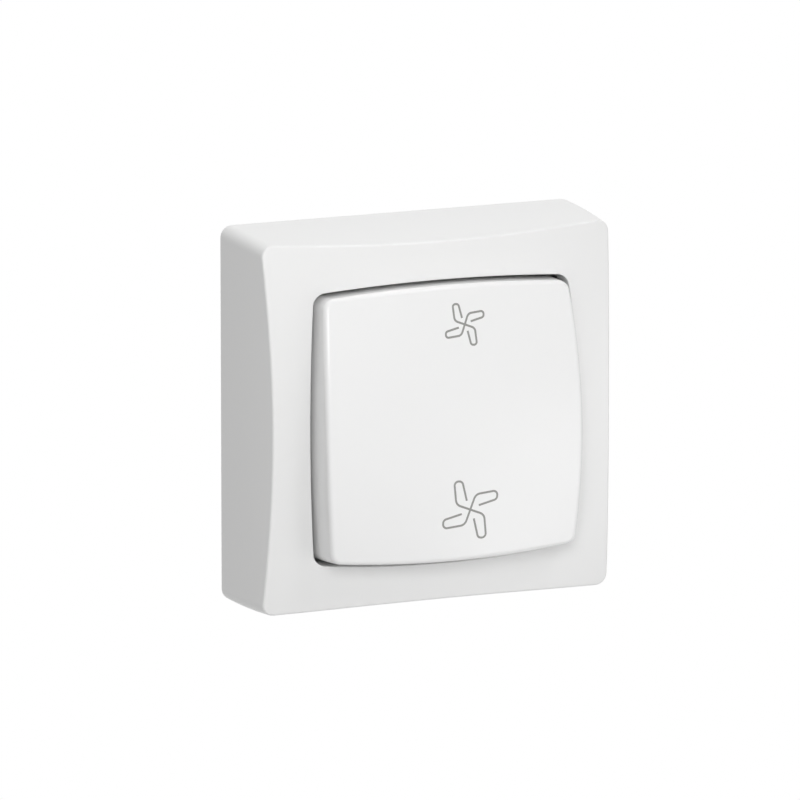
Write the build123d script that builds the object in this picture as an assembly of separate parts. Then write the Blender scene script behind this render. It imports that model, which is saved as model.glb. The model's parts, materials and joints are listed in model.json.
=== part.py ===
from build123d import *
from math import cos, radians, sin
import os

os.makedirs("parts", exist_ok=True)

# Sizes are in millimetres and degrees. Everything is drawn with x to the right, y up and z
# out of the wall, and is turned upright at the end: the wall is then y = 0, the front faces -y.

# Outer casing
case_size = 76.0
case_wall = 2.2
case_corner = 2.4
cavity_corner = 0.8
case_edge = 0.5
wall_sweep = 0.0034
corner_sweep = 0.0000012
crown_depth = 25.8
crown_curve = 0.0022
crown_twist = 0.0000001
bezel_wall = 2.4

# Window for the key: its sides bow outwards, and a collar runs back around it
window_half = 27.28
window_bow = 1.37
window_corner = 2.8
window_edge = 0.2
collar_wall = 1.2
collar_depth = 17.0

# Rocker key, at the middle of its travel: its sides lean in from the foot to the face
key_gap = 1.18
key_drop = 0.2
key_bow = 1.38
key_corner = 2.5
key_edge = 1.0
key_foot_gap = 0.85
key_foot_depth = 22.0
key_wall = 2.0
key_roof = 2.2
key_crown_depth = 30.2
key_crown_curve_x = 0.0004
key_crown_curve_y = 0.0016
key_crown_twist = 0.0000033
key_skirt_depth = 16.0

# Rocking: the key is shown with its top pressed in
pivot_depth = 18.5
key_tilt = 4.3
pin_fit = 0.05
side_gap = 0.3

# Fan pictograms on the key
symbol_x = 2.58
low_symbol_y = 19.38
high_symbol_y = -17.56
low_symbol_half = 4.16
high_symbol_half = 5.86
symbol_line = 0.42
print_depth = 0.12

# Rocker carrier
carrier_half_width = 11.7
carrier_half_length = 18.0
carrier_plate = 2.2
cheek_wall = 2.4
cheek_half_length = 5.0
trunnion_radius = 1.5
post_radius = 3.2
post_wall = 3.2
head_clearance = 0.7
tube_radius = 3.4
tube_reach = 6.5
clip_wall = 1.5
clip_half_width = 5.0
clip_catch = 1.0
clip_gap = 0.15
pad_wall = 1.6

# Plunger and its spring
plunger_radius = 1.95
plunger_length = 5.6
spigot_radius = 1.1
spigot_length = 1.5
bore_roof = 0.9
spring_wire = 0.22
spring_radius = 1.5
spring_turns = 5
tip_gap = 0.3

# Contact lever
lever_depth = 7.5
lever_rise = 0.5
lever_thick = 1.0
lever_half_length = 9.5
lever_half_width = 3.5
lever_tilt = 8.0
lever_barrel = 1.0
lever_pin = 0.8
ear_thick = 1.0
ear_radius = 2.0
contact_place = 8.0
contact_radius = 1.4
contact_thick = 0.8
contact_shank = 0.7
contact_touch = 0.02

# Base plate
plate_thick = 2.5
plate_fit = 0.2
recess_depth = 0.8
rib_half = 1.5
rim_width = 3.0
slot_edge = 1.6
slot_width = 4.4
slot_length = 8.0
slot_land = 2.0
entry_width = 28.0
entry_height = 9.0
entry_edge = 2.6
entry_corner = 2.0
stop_place = 19.0
stop_radius = 1.5
stop_gap = 0.1

# Snap hooks between base plate and casing, and the casing's seats on the plate
hook_place = 18.0
hook_width = 8.0
hook_wall = 1.8
hook_gap = 0.4
hook_start = 9.0
hook_length = 3.0
hook_catch = 1.0
hook_room = 0.3
seat_place = 20.0
seat_width = 2.0
seat_reach = 2.6

# Contact housing and its cover
housing_wall = 1.8
housing_floor = 1.8
housing_top = 12.5
cover_thick = 1.2
cover_play = 1.0
peg_radius = 0.6
peg_length = 1.5
ear_width = 9.0
ear_reach = 7.0
ear_base = 6.0
ear_plate = 2.0
boss_radius = 3.2

# Screws
screw_radius = 1.25
screw_play = 0.2
screw_head = 2.8
screw_head_thick = 1.8
screw_slot = 0.8
screw_start = 1.2

# Terminals
strip_thick = 1.0
strip_half_width = 2.5
terminal_x = 14.5
terminal_y = 9.0
clamp_size = 7.0
clamp_gap = 0.2
clamp_height = 6.7
clamp_floor = 1.0
wire_radius = 1.6
wire_play = 0.5
clamp_screw_radius = 1.5
clamp_head_radius = 2.6
clamp_head_thick = 1.5
clamp_screw_length = 3.0
head_play = 0.5

# Places that follow from the sizes above
case_half = case_size / 2
cavity_half = case_half - case_wall
plate_half = cavity_half - plate_fit
slot_place = plate_half - slot_edge - slot_length / 2
key_half = window_half - key_gap
foot_half = window_half - key_foot_gap
carrier_under = pivot_depth + post_radius + head_clearance
carrier_top = carrier_under + carrier_plate
floor_top = plate_thick + housing_floor
strip_top = floor_top + strip_thick
clamp_top = strip_top + clamp_height
clamp_room = clamp_size / 2 + clamp_gap + housing_wall
housing_half_x = terminal_x + clamp_room
housing_half_y = terminal_y + clamp_room
post_inner = carrier_half_width + side_gap
tip_reach = pivot_depth - lever_depth - lever_rise - lever_thick - plunger_radius - tip_gap
bore_end = carrier_under - bore_roof
plunger_rear = pivot_depth - tip_reach + plunger_length
pivot = Axis((0, 0, pivot_depth), (1, 0, 0))
lever_pivot = Axis((0, 0, lever_depth), (1, 0, 0))


def block(x, y, z):
    """Box between a low and a high value on each axis."""
    spans = (x, y, z)
    size = [high - low for low, high in spans]
    centre = [(high + low) / 2 for low, high in spans]
    return Pos(*centre) * Box(*size)


def disc(radius, z, x=0.0, y=0.0):
    """Cylinder that stands out of the wall."""
    low, high = z
    return Pos(x, y, (low + high) / 2) * Cylinder(radius, high - low)


def pin(radius, x, z, y=0.0):
    """Cylinder that lies along x."""
    low, high = x
    return Pos((low + high) / 2, y, z) * Rot(0, 90, 0) * Cylinder(radius, high - low)


def mirrored(shape):
    """The shape and its mirror image left to right."""
    return shape + mirror(shape, about=Plane.YZ)


def crowned(depth, curve_x, curve_y, twist, reach):
    """Block up to a surface that falls away both ways from its apex on the z axis."""
    square = reach**2
    places = ((-reach, square), (0.0, -square), (reach, square))
    points = [
        [Vector(x, y, depth - curve_x * xx - curve_y * yy - twist * xx * yy) for y, yy in places]
        for x, xx in places
    ]
    return extrude(Face.make_bezier_surface(points), amount=3 * depth, dir=(0, 0, -1))


def case_crown(drop=0.0):
    reach = case_half + case_wall
    return crowned(crown_depth - drop, crown_curve, crown_curve, crown_twist, reach)


def key_crown(drop=0.0):
    depth = key_crown_depth - drop
    return crowned(depth, key_crown_curve_x, key_crown_curve_y, key_crown_twist, case_half)


def leaning_block(half, corner):
    """Square block on the wall whose sides lean in towards the front, least at the corners."""
    reach = case_half + case_wall
    side = Rot(0, 90, 0) * crowned(half, wall_sweep, 0.0, -corner_sweep, reach)
    walls = block((-reach, reach), (-reach, reach), (0, crown_depth))
    for turn in (0, 90, 180, 270):
        walls &= Rot(0, 0, turn) * side
    upright = [edge for edge in walls.edges() if edge.bounding_box().size.Z > crown_depth / 2]
    return fillet(upright, corner)


def bowed_square(half, bow, corner):
    """Square outline whose sides bow outwards."""
    side = ThreePointArc((-half, half), (0, half + bow), (half, half))
    outline = make_face([Rot(0, 0, turn) * side for turn in (0, 90, 180, 270)])
    return fillet(outline.vertices(), corner)


def front_edges(shape, z_low):
    """Edges that lie wholly in front of a depth."""
    return [edge for edge in shape.edges() if edge.bounding_box().min.Z > z_low]


def spread(edge):
    """Furthest that an edge reaches from the z axis along x or y."""
    box = edge.bounding_box()
    return max(-box.min.X, box.max.X, -box.min.Y, box.max.Y)


def outer_casing():
    middle = crown_depth / 2
    solid = leaning_block(case_half, case_corner) & case_crown()
    solid = fillet(front_edges(solid, middle), case_edge)
    window = extrude(bowed_square(window_half, window_bow, window_corner), amount=2 * crown_depth)
    shell = solid - window
    reach = window_half + window_bow + window_edge
    rim = [edge for edge in front_edges(shell, middle) if spread(edge) < reach]
    shell = fillet(rim, window_edge)
    shell -= leaning_block(cavity_half, cavity_corner) & case_crown(bezel_wall)
    shell += window_collar() - window
    for x in (-hook_place, hook_place):
        for side in (-1, 1):
            shell -= hook_pocket(x, side)
    for side in (-1, 1):
        for y in (-seat_place, seat_place):
            shell += solid & casing_seat(side, y)
    return shell


def window_collar():
    """Block that the window is cut through, from the bezel back to the collar's end."""
    outline = bowed_square(window_half + collar_wall, window_bow, window_corner + collar_wall)
    return extrude(Pos(0, 0, collar_depth) * outline, amount=crown_depth) & case_crown(bezel_wall / 2)


def hook_pocket(x, side):
    """Pocket in the casing's wall for one snap hook."""
    half = hook_width / 2 + hook_room
    outer = plate_half - hook_gap + hook_catch + hook_room
    pocket = block(
        (x - half, x + half),
        (cavity_half - case_wall, outer),
        (hook_start, hook_start + hook_length + hook_room),
    )
    return pocket if side > 0 else mirror(pocket, about=Plane.XZ)


def casing_seat(side, y):
    """Rib on the casing's side wall that rests on the base plate."""
    inner = cavity_half - seat_reach
    height = crown_depth - bezel_wall - 2 * crown_curve * cavity_half**2
    rib = block(
        (inner, cavity_half + case_wall / 4),
        (y - seat_width / 2, y + seat_width / 2),
        (plate_thick, plate_thick + height),
    )
    return rib if side > 0 else mirror(rib, about=Plane.YZ)


def base_plate():
    outline = RectangleRounded(2 * plate_half, 2 * plate_half, case_corner)
    plate = extrude(outline, amount=plate_thick) - plate_recesses()
    plate += extrude(outline & full_lands(), amount=plate_thick)
    for side in (-1, 1):
        hole = Pos(side * slot_place, 0) * SlotOverall(slot_length, slot_width)
        plate -= extrude(hole, amount=plate_thick)
    plate -= extrude(cable_entry(), amount=plate_thick)
    for side in (-1, 1):
        plate += disc(boss_radius, (plate_thick / 2, ear_base), y=side * screw_place())
        plate -= disc(screw_radius, (screw_start, ear_base), y=side * screw_place())
        for x in (-stop_place, stop_place):
            plate += stop_post(x, side)
        for x in (-hook_place, hook_place):
            plate += snap_hook(x, side)
    return plate


def plate_recesses():
    """Four shallow panels in the plate's back, with ribs between them."""
    outer = plate_half - rim_width
    panel = block((rib_half, outer), (rib_half, outer), (0, recess_depth))
    panel = fillet(panel.edges().filter_by(Axis.Z), rib_half)
    half = mirrored(panel)
    return half + mirror(half, about=Plane.XZ)


def full_lands():
    """Outlines where the plate keeps its full thickness: slots, cable entry and bosses."""
    lands = Sketch()
    for side in (-1, 1):
        lands += Pos(side * slot_place, 0) * SlotOverall(
            slot_length + 2 * slot_land, slot_width + 2 * slot_land
        )
    lands += cable_entry(slot_land)
    return lands + [Pos(0, side * screw_place()) * Circle(boss_radius) for side in (-1, 1)]


def cable_entry(margin=0.0):
    """Outline of the opening for the cable, at the plate's lower edge."""
    low = -plate_half + entry_edge
    centre = low + entry_height / 2
    return Pos(0, centre) * RectangleRounded(
        entry_width + 2 * margin, entry_height + 2 * margin, entry_corner + margin
    )


def screw_place():
    """Distance of each housing screw from the middle."""
    return housing_half_y + ear_reach / 2


def stop_post(x, side):
    """Post that stops the key's skirt at the end of its travel."""
    skirt_outer = foot_half + window_bow
    drop = (pivot_depth - key_skirt_depth) * cos(radians(key_tilt))
    drop += skirt_outer * sin(radians(key_tilt))
    top = pivot_depth - drop - stop_gap
    return disc(stop_radius, (plate_thick / 2, top), x, side * (skirt_outer - key_wall))


def snap_hook(x, side):
    """Springy arm with a catch that holds the casing."""
    outer = plate_half - hook_gap
    end = hook_start + hook_length
    profile = make_face(
        Polyline(
            (outer - hook_wall, plate_thick / 2),
            (outer, plate_thick / 2),
            (outer, hook_start),
            (outer + hook_catch, hook_start),
            (outer + hook_catch / 4, end),
            (outer - hook_wall, end),
            close=True,
        )
    )
    arm = extrude(Plane.YZ * profile, amount=hook_width / 2, both=True)
    arm = Pos(x, 0, 0) * arm
    return arm if side > 0 else mirror(arm, about=Plane.XZ)


def contact_housing():
    outer = block(
        (-housing_half_x, housing_half_x), (-housing_half_y, housing_half_y), (plate_thick, housing_top)
    )
    outer = fillet(outer.edges().filter_by(Axis.Z), housing_wall)
    inner_x = housing_half_x - housing_wall
    inner_y = housing_half_y - housing_wall
    body = outer - block((-inner_x, inner_x), (-inner_y, inner_y), (floor_top, housing_top))
    for side in (-1, 1):
        body += screw_ear(side)
        body -= disc(peg_radius, (housing_top - peg_length, housing_top), y=side * peg_place())
    for x, y in terminal_places():
        hole = (0, housing_half_x) if x > 0 else (-housing_half_x, 0)
        body -= pin(wire_radius + wire_play, hole, wire_depth(), y)
    body += mirrored(bearing_post())
    return body


def peg_place():
    """Distance of each cover peg from the middle."""
    return housing_half_y - housing_wall / 2


def wire_depth():
    """Depth of the middle of each wire hole."""
    return strip_top + clamp_floor + wire_radius


def screw_ear(side):
    """Flange of the housing with a hole for its screw, over the base plate's boss."""
    reach = (housing_half_y - housing_wall / 2, housing_half_y + ear_reach)
    ear = block((-ear_width / 2, ear_width / 2), reach, (ear_base, ear_base + ear_plate))
    tips = [edge for edge in ear.edges().filter_by(Axis.Z) if edge.center().Y > housing_half_y]
    ear = fillet(tips, ear_reach / 4)
    ear -= disc(screw_radius + screw_play, (ear_base, ear_base + ear_plate), y=screw_place())
    return ear if side > 0 else mirror(ear, about=Plane.XZ)


def bearing_post():
    """Post with the hole that one trunnion of the carrier turns in."""
    span = (post_inner, post_inner + post_wall)
    post = block(span, (-post_radius, post_radius), (plate_thick, pivot_depth))
    post += pin(post_radius, span, pivot_depth)
    return post - pin(trunnion_radius + pin_fit, span, pivot_depth)


def contact_cover():
    top = (housing_top, housing_top + cover_thick)
    cover = block((-housing_half_x, housing_half_x), (-housing_half_y, housing_half_y), top)
    cover = fillet(cover.edges().filter_by(Axis.Z), housing_wall)
    swing = tube_reach * sin(radians(key_tilt))
    room = tube_radius + swing + cover_play
    cover -= disc(room, top)
    for x, y in terminal_places():
        cover -= disc(clamp_head_radius + head_play, top, x, y)
    post_end = post_inner + post_wall
    slot = block((post_inner, post_end), (-post_radius, post_radius), top)
    cover -= mirrored(slot)
    for side in (-1, 1):
        cover += disc(peg_radius, (housing_top - peg_length, housing_top), y=side * peg_place())
    return cover


def terminal_places():
    """Middle of the low-speed, high-speed and common terminals."""
    return ((terminal_x, terminal_y), (terminal_x, -terminal_y), (-terminal_x, -terminal_y))


def speed_terminal(side):
    """Strip from a fixed contact to its clamp."""
    middle = side * terminal_y
    strip = block(
        (-strip_half_width, terminal_x + strip_half_width),
        (middle - strip_half_width, middle + strip_half_width),
        (floor_top, strip_top),
    )
    return strip


def common_terminal():
    """Strip with two ears that carry the contact lever, and a leg to its clamp."""
    inner = lever_half_width + side_gap
    outer = inner + ear_thick
    leg = -outer - 2 * strip_half_width
    foot = (-terminal_y - strip_half_width, -terminal_y + strip_half_width)
    strip = block((leg, outer), (-ear_radius, ear_radius), (floor_top, strip_top))
    strip += block((leg, -outer), (-terminal_y, ear_radius), (floor_top, strip_top))
    strip += block((-terminal_x - strip_half_width, -outer), foot, (floor_top, strip_top))
    ear = block((inner, outer), (-ear_radius, ear_radius), (floor_top, lever_depth))
    ear += pin(ear_radius, (inner, outer), lever_depth)
    ear -= pin(lever_pin + pin_fit, (inner, outer), lever_depth)
    return strip + mirrored(ear)


def clamp(place):
    """Threaded brass clamp with a cross hole for the wire."""
    x, y = place
    half = clamp_size / 2
    body = block((x - half, x + half), (y - half, y + half), (strip_top, clamp_top))
    body = chamfer(body.edges().filter_by(Axis.Z), clamp_size / 20)
    body -= pin(wire_radius, (x - half, x + half), wire_depth(), y)
    return body - disc(clamp_screw_radius, (wire_depth(), clamp_top), x, y)


def slotted_screw(radius, length, head_radius, head_thick):
    """Screw whose head rests on z = 0, with a straight driver slot."""
    screw = disc(radius, (-length, 0))
    head = disc(head_radius, (0, head_thick))
    rim = [edge for edge in head.edges() if edge.center().Z > head_thick / 2]
    head = chamfer(rim, head_thick / 4)
    slot = block(
        (-head_radius, head_radius), (-screw_slot / 2, screw_slot / 2), (head_thick / 2, head_thick)
    )
    return screw + head - slot


def terminal_screws():
    screw = slotted_screw(clamp_screw_radius, clamp_screw_length, clamp_head_radius, clamp_head_thick)
    return Part() + [Pos(x, y, clamp_top) * screw for x, y in terminal_places()]


def housing_screws():
    seat = ear_base + ear_plate
    screw = slotted_screw(screw_radius, seat - screw_start, screw_head, screw_head_thick)
    return Part() + [Pos(0, side * screw_place(), seat) * screw for side in (-1, 1)]


def lever_frame(shape, side=1):
    """Turns a piece drawn level to the lever's tilt, with its top or its bottom out."""
    return shape.rotate(lever_pivot, side * lever_tilt)


def contact_lever():
    under = lever_depth + lever_rise
    width = (-lever_half_width, lever_half_width)
    lever = block(width, (-lever_half_length, lever_half_length), (under, under + lever_thick))
    lever += pin(lever_barrel, width, lever_depth)
    ends = lever_half_width + side_gap + ear_thick
    lever += pin(lever_pin, (-ends, ends), lever_depth)
    for y in (-contact_place, contact_place):
        lever -= disc(contact_shank, (under, under + lever_thick), y=y)
    return lever_frame(lever)


def lever_contact(side):
    """Riveted contact on the wall side of the lever."""
    y = side * contact_place
    under = lever_depth + lever_rise
    contact = disc(contact_radius, (under - contact_thick, under), y=y)
    contact += disc(contact_shank, (under, under + lever_thick), y=y)
    return lever_frame(contact)


def fixed_contact(side):
    """Contact on a terminal strip, with the face that the lever's contact closes on."""
    face = lever_depth + lever_rise - contact_thick - contact_touch
    stem = disc(contact_radius, (0, face), y=side * contact_place)
    stem = lever_frame(stem, -side)
    around = (-case_half, case_half)
    return stem & block(around, around, (strip_top, lever_depth))


def rocker_frame(shape):
    """Turns a piece drawn level to the key's tilt, with the top pressed in."""
    return shape.rotate(pivot, -key_tilt)


def level_key():
    """Key cap before its tilt: a crowned shell with seats and clips for the carrier."""
    centre = Pos(0, -key_drop, 0)
    foot = centre * bowed_square(foot_half, window_bow, key_corner)
    face = centre * bowed_square(key_half, key_bow, key_corner)
    blank = extrude(Pos(0, 0, key_skirt_depth) * foot, amount=key_foot_depth - key_skirt_depth)
    blank += loft([Pos(0, 0, key_foot_depth) * foot, Pos(0, 0, key_crown_depth) * face])
    solid = blank & key_crown()
    middle = (key_foot_depth + key_crown_depth) / 2
    key = fillet(front_edges(solid, middle), key_edge)
    inner = centre * bowed_square(foot_half - key_wall, window_bow, key_corner / 2)
    hollow = extrude(Pos(0, 0, key_skirt_depth) * inner, amount=key_crown_depth)
    key -= hollow & key_crown(key_roof)
    for side in (-1, 1):
        key += solid & key_pad(side)
        key += solid & key_clip(side)
    return key


def key_pad(side):
    """Rib on the key's underside that rests on the carrier."""
    x = side * (carrier_half_width - pad_wall)
    return block(
        (x - pad_wall / 2, x + pad_wall / 2),
        (-carrier_half_length, carrier_half_length),
        (carrier_top, key_crown_depth - key_roof / 2),
    )


def key_clip(side):
    """Leg on the key's underside that snaps under the end of the carrier."""
    inner = carrier_half_length + clip_gap
    leg = block(
        (-clip_half_width, clip_half_width),
        (inner, inner + clip_wall),
        (carrier_under - clip_catch, key_crown_depth - key_roof),
    )
    leg += block(
        (-clip_half_width, clip_half_width),
        (inner - clip_catch, inner + clip_wall),
        (carrier_under - clip_catch, carrier_under),
    )
    roof = block(
        (-clip_half_width, clip_half_width),
        (inner, inner + clip_wall),
        (carrier_under, key_crown_depth - key_roof / 2),
    )
    leg += roof & key_crown(key_roof / 2)
    return leg if side > 0 else mirror(leg, about=Plane.XZ)


def blade(half):
    """One blade of the fan pictogram: a stroke from the hub, a rounded tip and a return."""
    corners = [(0, 0), (0.205, 0.51), (1.01, 0.58), (0.99, 0.282), (0.314, 0.126)]
    rounds = [0.256, 0.137, 0.137]
    path = FilletPolyline(
        *[(x * half, y * half) for x, y in corners], radius=[share * half for share in rounds]
    )
    return trace(path, symbol_line)


def fan_symbol(y, half):
    """Four-bladed fan pictogram, inlaid in the key's face."""
    fan = Sketch() + [Rot(0, 0, turn) * blade(half) for turn in (0, 90, 180, 270)]
    column = extrude(Pos(symbol_x, y, key_skirt_depth) * fan, amount=key_crown_depth)
    return column & (key_crown() - key_crown(print_depth))


def level_carrier():
    """Carrier before its tilt: plate, two cheeks with trunnions, and the plunger's tube."""
    width = (-carrier_half_width, carrier_half_width)
    length = (-carrier_half_length, carrier_half_length)
    carrier = block(width, length, (carrier_under, carrier_top))
    cheek = block(
        (carrier_half_width - cheek_wall, carrier_half_width),
        (-cheek_half_length, cheek_half_length),
        (pivot_depth - post_radius, carrier_under),
    )
    reach = (carrier_half_width, carrier_half_width + side_gap + post_wall)
    cheek += pin(trunnion_radius, reach, pivot_depth)
    carrier += mirrored(cheek)
    carrier += disc(tube_radius, (pivot_depth - tube_reach, carrier_under))
    return carrier - disc(plunger_radius + pin_fit, (pivot_depth - tube_reach, bore_end))


def level_plunger():
    """Plunger before its tilt: a round-nosed pin with a spigot for the spring."""
    nose = pivot_depth - tip_reach
    shaft = disc(plunger_radius, (nose, plunger_rear))
    shaft += Pos(0, 0, nose) * Sphere(plunger_radius)
    return shaft + disc(spigot_radius, (plunger_rear, plunger_rear + spigot_length))


def level_spring():
    """Compression spring between the plunger and the end of its bore."""
    height = bore_end - plunger_rear - 2 * spring_wire
    path = Helix(height / spring_turns, height, spring_radius)
    start = Plane(path @ 0, z_dir=path % 0)
    coil = sweep(start * Circle(spring_wire), path=path, is_frenet=True)
    return Pos(0, 0, plunger_rear + spring_wire) * coil


low_symbol = fan_symbol(low_symbol_y, low_symbol_half)
high_symbol = fan_symbol(high_symbol_y, high_symbol_half)
low_place, high_place, common_place = terminal_places()

nodes = {
    "outer_casing": outer_casing(),
    "base_plate": base_plate(),
    "contact_housing": contact_housing(),
    "contact_cover": contact_cover(),
    "common_terminal": common_terminal(),
    "low_speed_terminal": speed_terminal(1),
    "high_speed_terminal": speed_terminal(-1),
    "low_speed_fixed_contact": fixed_contact(1),
    "high_speed_fixed_contact": fixed_contact(-1),
    "common_clamp": clamp(common_place),
    "low_speed_clamp": clamp(low_place),
    "high_speed_clamp": clamp(high_place),
    "terminal_screws": terminal_screws(),
    "housing_screws": housing_screws(),
    "rocker_key": rocker_frame(level_key() - low_symbol - high_symbol),
    "low_speed_symbol": rocker_frame(low_symbol),
    "high_speed_symbol": rocker_frame(high_symbol),
    "rocker_carrier": rocker_frame(level_carrier()),
    "plunger_spring": rocker_frame(level_spring()),
    "plunger": rocker_frame(level_plunger()),
    "contact_lever": contact_lever(),
    "upper_lever_contact": lever_contact(1),
    "lower_lever_contact": lever_contact(-1),
}

for name, shape in nodes.items():
    export_step(Rot(90, 0, 0) * shape, f"parts/{name}.step")
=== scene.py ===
import json
import math

import bpy
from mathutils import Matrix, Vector


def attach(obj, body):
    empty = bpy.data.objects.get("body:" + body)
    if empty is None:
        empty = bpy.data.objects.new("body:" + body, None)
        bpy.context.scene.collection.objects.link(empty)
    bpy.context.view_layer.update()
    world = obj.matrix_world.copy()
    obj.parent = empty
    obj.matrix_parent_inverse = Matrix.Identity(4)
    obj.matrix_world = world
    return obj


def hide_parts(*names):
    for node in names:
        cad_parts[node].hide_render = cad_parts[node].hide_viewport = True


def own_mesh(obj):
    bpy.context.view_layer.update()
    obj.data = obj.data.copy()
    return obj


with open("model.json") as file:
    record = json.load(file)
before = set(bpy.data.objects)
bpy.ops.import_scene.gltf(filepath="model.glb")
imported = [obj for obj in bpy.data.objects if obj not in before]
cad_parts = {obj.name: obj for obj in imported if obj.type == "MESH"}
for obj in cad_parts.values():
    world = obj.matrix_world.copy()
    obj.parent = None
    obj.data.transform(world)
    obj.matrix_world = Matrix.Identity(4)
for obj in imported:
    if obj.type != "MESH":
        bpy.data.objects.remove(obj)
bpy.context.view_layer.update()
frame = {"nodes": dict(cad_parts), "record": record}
nodes = frame["nodes"]

# The photograph's frame
IMAGE_SIZE = 800
SENSOR = 36.0

# Camera: a long lens from the left and a little above, aimed at the middle of the wall face
CAMERA_AZIMUTH = -22.94
CAMERA_ELEVATION = 11.88
CAMERA_DISTANCE = 2.048
CAMERA_CLIP = (0.1, 50.0)
FOCAL_PIXELS = 10238.0
CENTRE_PIXELS = (-2.78, -1.55)

# White floor well below the switch, which hangs on a wall
FLOOR_HEIGHT = -0.30
FLOOR_HALF = 12.0
FLOOR_COLOUR = (0.8, 0.8, 0.8, 1.0)
WHITE = (1.0, 1.0, 1.0, 1.0)

# Soft light from all sides
AMBIENT = 0.36

# Square lamps: name, azimuth, elevation, distance in m, side in m, power in W
LAMPS = (
    ("right_lamp", 36.0, -16.0, 0.3, 0.15, 0.15),
    ("edge_lamp", 22.0, 42.0, 0.35, 0.08, 0.13),
    ("left_lamp", -45.0, 10.0, 0.7, 0.4, 0.10),
    ("low_lamp", -38.0, -14.0, 0.4, 0.1, 0.10),
    ("near_lamp", -18.0, 20.0, 0.35, 0.12, 0.4),
    ("back_lamp", 0.0, 100.0, 0.6, 0.4, 1.45),
)

# Plastic: a mottling that shades the colour and swings the roughness by these shares, and a grain
MOTTLE_SCALE = 90.0
MOTTLE_DETAIL = 3.0
MOTTLE_SHADE = 0.995
PLASTIC_GLOSS = (0.95, 1.05)
GRAIN_SCALE = 900.0
GRAIN_DETAIL = 2.0
GRAIN_HEIGHT = 0.00002

# Metal: streaks along y that shade the colour and swing the roughness by these shares
STREAK_SCALE = 1500.0
STREAK_STRETCH = (1.0, 0.15, 1.0)
STREAK_SHADE = 0.9
METAL_GLOSS = (0.8, 1.2)

# Plastics: colour, roughness, grain and specular level
PLASTICS = {
    "case_white": ((0.84, 0.84, 0.836), 0.31, 0.04, 0.35),
    "key_white": ((0.86, 0.86, 0.858), 0.24, 0.04, 0.4),
    "symbol_grey": ((0.27, 0.27, 0.255), 0.45, 0.1, 0.5),
    "plate_white": ((0.72, 0.72, 0.70), 0.5, 0.5, 0.5),
    "housing_grey": ((0.10, 0.105, 0.115), 0.5, 0.5, 0.5),
    "carrier_white": ((0.7, 0.7, 0.68), 0.45, 0.4, 0.5),
    "plunger_black": ((0.03, 0.03, 0.035), 0.4, 0.3, 0.5),
}

# Metals: colour and roughness
METALS = {
    "strip_brass": ((0.80, 0.60, 0.28), 0.36),
    "contact_silver": ((0.86, 0.85, 0.82), 0.36),
    "screw_steel": ((0.62, 0.62, 0.60), 0.38),
    "spring_steel": ((0.45, 0.46, 0.48), 0.36),
}


def unit(azimuth, elevation):
    """Direction from the object towards an azimuth and elevation in degrees."""
    a, e = math.radians(azimuth), math.radians(elevation)
    return Vector((math.sin(a) * math.cos(e), -math.cos(a) * math.cos(e), math.sin(e)))


def add_camera():
    data = bpy.data.cameras.new("camera")
    camera = bpy.data.objects.new("camera", data)
    bpy.context.scene.collection.objects.link(camera)
    back = unit(CAMERA_AZIMUTH, CAMERA_ELEVATION)
    camera.location = back * CAMERA_DISTANCE
    camera.rotation_mode = "QUATERNION"
    camera.rotation_quaternion = (-back).to_track_quat("-Z", "Y")
    data.sensor_width = SENSOR
    data.lens = FOCAL_PIXELS / IMAGE_SIZE * SENSOR
    data.shift_x = -CENTRE_PIXELS[0] / IMAGE_SIZE
    data.shift_y = CENTRE_PIXELS[1] / IMAGE_SIZE
    data.clip_start, data.clip_end = CAMERA_CLIP
    bpy.context.scene.camera = camera


def add_lamps():
    for name, azimuth, elevation, distance, side, power in LAMPS:
        data = bpy.data.lights.new(name, "AREA")
        data.shape = "SQUARE"
        data.size = side
        data.energy = power
        lamp = bpy.data.objects.new(name, data)
        bpy.context.scene.collection.objects.link(lamp)
        towards = unit(azimuth, elevation)
        lamp.location = towards * distance
        lamp.rotation_mode = "QUATERNION"
        lamp.rotation_quaternion = towards.to_track_quat("Z", "Y")


def emptied_tree(owner):
    """Node tree of a material or world, with nothing in it."""
    owner.use_nodes = True
    owner.node_tree.nodes.clear()
    return owner.node_tree


def add_node(tree, kind, sockets):
    """New shader node with some of its own sockets set."""
    node = tree.nodes.new(kind)
    for name, value in sockets.items():
        node.inputs[name].default_value = value
    return node


def seen_directly(tree):
    """1 for camera, glossy and transmission rays, else 0."""
    path = tree.nodes.new("ShaderNodeLightPath")
    seen = path.outputs["Is Camera Ray"]
    for ray in ("Is Glossy Ray", "Is Transmission Ray"):
        either = tree.nodes.new("ShaderNodeMath")
        either.operation = "MAXIMUM"
        tree.links.new(seen, either.inputs[0])
        tree.links.new(path.outputs[ray], either.inputs[1])
        seen = either.outputs[0]
    return seen


def white_if_seen(tree, lit, white, out):
    """Show white to rays that see it directly, and the lit shader to all others."""
    mix = tree.nodes.new("ShaderNodeMixShader")
    tree.links.new(seen_directly(tree), mix.inputs["Fac"])
    tree.links.new(lit.outputs[0], mix.inputs[1])
    tree.links.new(white.outputs[0], mix.inputs[2])
    tree.links.new(mix.outputs[0], out.inputs["Surface"])


def add_world():
    world = bpy.data.worlds.new("studio")
    bpy.context.scene.world = world
    tree = emptied_tree(world)
    light = add_node(tree, "ShaderNodeBackground", {"Color": WHITE, "Strength": AMBIENT})
    white = add_node(tree, "ShaderNodeBackground", {"Color": WHITE, "Strength": 1.0})
    white_if_seen(tree, light, white, tree.nodes.new("ShaderNodeOutputWorld"))


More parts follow.
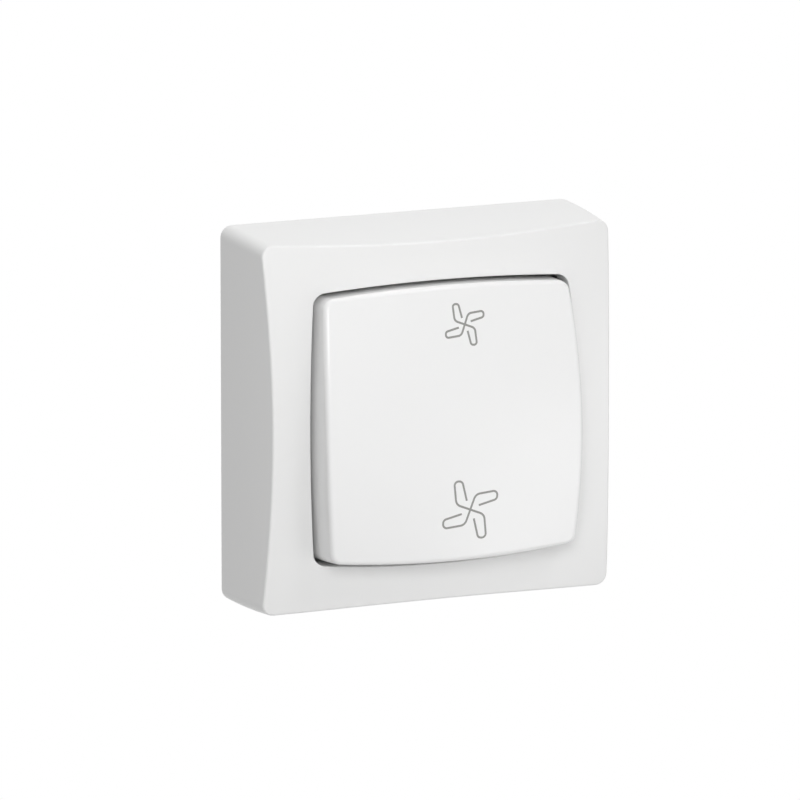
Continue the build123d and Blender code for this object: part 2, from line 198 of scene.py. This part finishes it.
def add_floor():
    mesh = bpy.data.meshes.new("floor")
    corners = [(-1, -1), (1, -1), (1, 1), (-1, 1)]
    points = [(x * FLOOR_HALF, y * FLOOR_HALF, FLOOR_HEIGHT) for x, y in corners]
    mesh.from_pydata(points, [], [(0, 1, 2, 3)])
    floor = bpy.data.objects.new("floor", mesh)
    bpy.context.scene.collection.objects.link(floor)
    material = bpy.data.materials.new("floor_white")
    tree = emptied_tree(material)
    diffuse = add_node(tree, "ShaderNodeBsdfDiffuse", {"Color": FLOOR_COLOUR})
    white = add_node(tree, "ShaderNodeEmission", {"Color": WHITE, "Strength": 1.0})
    white_if_seen(tree, diffuse, white, tree.nodes.new("ShaderNodeOutputMaterial"))
    mesh.materials.append(material)


def varied(tree, shader, noise, colour, shade, roughness, gloss):
    """Let a noise shade the colour and swing the roughness between two shares of it."""
    ramp = tree.nodes.new("ShaderNodeValToRGB")
    ramp.color_ramp.elements[0].color = (*[c * shade for c in colour], 1.0)
    ramp.color_ramp.elements[1].color = (*colour, 1.0)
    least, most = (roughness * share for share in gloss)
    swing = add_node(tree, "ShaderNodeMapRange", {"To Min": least, "To Max": most})
    tree.links.new(noise.outputs["Fac"], ramp.inputs["Fac"])
    tree.links.new(noise.outputs["Fac"], swing.inputs["Value"])
    tree.links.new(ramp.outputs["Color"], shader.inputs["Base Color"])
    tree.links.new(swing.outputs["Result"], shader.inputs["Roughness"])


def plastic(name, colour, roughness, grain, specular):
    """Moulded plastic: a faint mottling of colour and gloss, and a fine surface grain."""
    material = bpy.data.materials.new(name)
    tree = emptied_tree(material)
    shader = add_node(tree, "ShaderNodeBsdfPrincipled", {"Specular IOR Level": specular})
    out = tree.nodes.new("ShaderNodeOutputMaterial")
    place = tree.nodes.new("ShaderNodeTexCoord")
    mottle = add_node(tree, "ShaderNodeTexNoise", {"Scale": MOTTLE_SCALE, "Detail": MOTTLE_DETAIL})
    fine = add_node(tree, "ShaderNodeTexNoise", {"Scale": GRAIN_SCALE, "Detail": GRAIN_DETAIL})
    bump = add_node(tree, "ShaderNodeBump", {"Strength": grain, "Distance": GRAIN_HEIGHT})
    tree.links.new(place.outputs["Object"], mottle.inputs["Vector"])
    tree.links.new(place.outputs["Object"], fine.inputs["Vector"])
    varied(tree, shader, mottle, colour, MOTTLE_SHADE, roughness, PLASTIC_GLOSS)
    tree.links.new(fine.outputs["Fac"], bump.inputs["Height"])
    tree.links.new(bump.outputs["Normal"], shader.inputs["Normal"])
    tree.links.new(shader.outputs["BSDF"], out.inputs["Surface"])
    return material


def metal(name, colour, roughness):
    """Bare metal with fine streaks in its colour and gloss."""
    material = bpy.data.materials.new(name)
    tree = emptied_tree(material)
    shader = add_node(tree, "ShaderNodeBsdfPrincipled", {"Metallic": 1.0})
    out = tree.nodes.new("ShaderNodeOutputMaterial")
    place = tree.nodes.new("ShaderNodeTexCoord")
    stretch = add_node(tree, "ShaderNodeMapping", {"Scale": STREAK_STRETCH})
    streaks = add_node(tree, "ShaderNodeTexNoise", {"Scale": STREAK_SCALE})
    tree.links.new(place.outputs["Object"], stretch.inputs["Vector"])
    tree.links.new(stretch.outputs["Vector"], streaks.inputs["Vector"])
    varied(tree, shader, streaks, colour, STREAK_SHADE, roughness, METAL_GLOSS)
    tree.links.new(shader.outputs["BSDF"], out.inputs["Surface"])
    return material


def dress_nodes():
    """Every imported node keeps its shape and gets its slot's material."""
    made = {name: plastic(name, *values) for name, values in PLASTICS.items()}
    made.update({name: metal(name, *values) for name, values in METALS.items()})
    for row in frame["record"]["subparts"]:
        node = nodes[row["node"]]
        node.data.materials.clear()
        node.data.materials.append(made[row["material_slot"]])


def add_spring():
    """A copy of the plunger's spring, carried by the rocker in place of the hidden original."""
    spring = bpy.data.objects.new("spring_coil", nodes["plunger_spring"].data.copy())
    bpy.context.scene.collection.objects.link(spring)
    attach(spring, "rocker")
    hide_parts("plunger_spring")
    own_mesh(spring)


bpy.context.scene.view_settings.view_transform = "Standard"
add_camera()
add_world()
add_floor()
add_lamps()
dress_nodes()
add_spring()
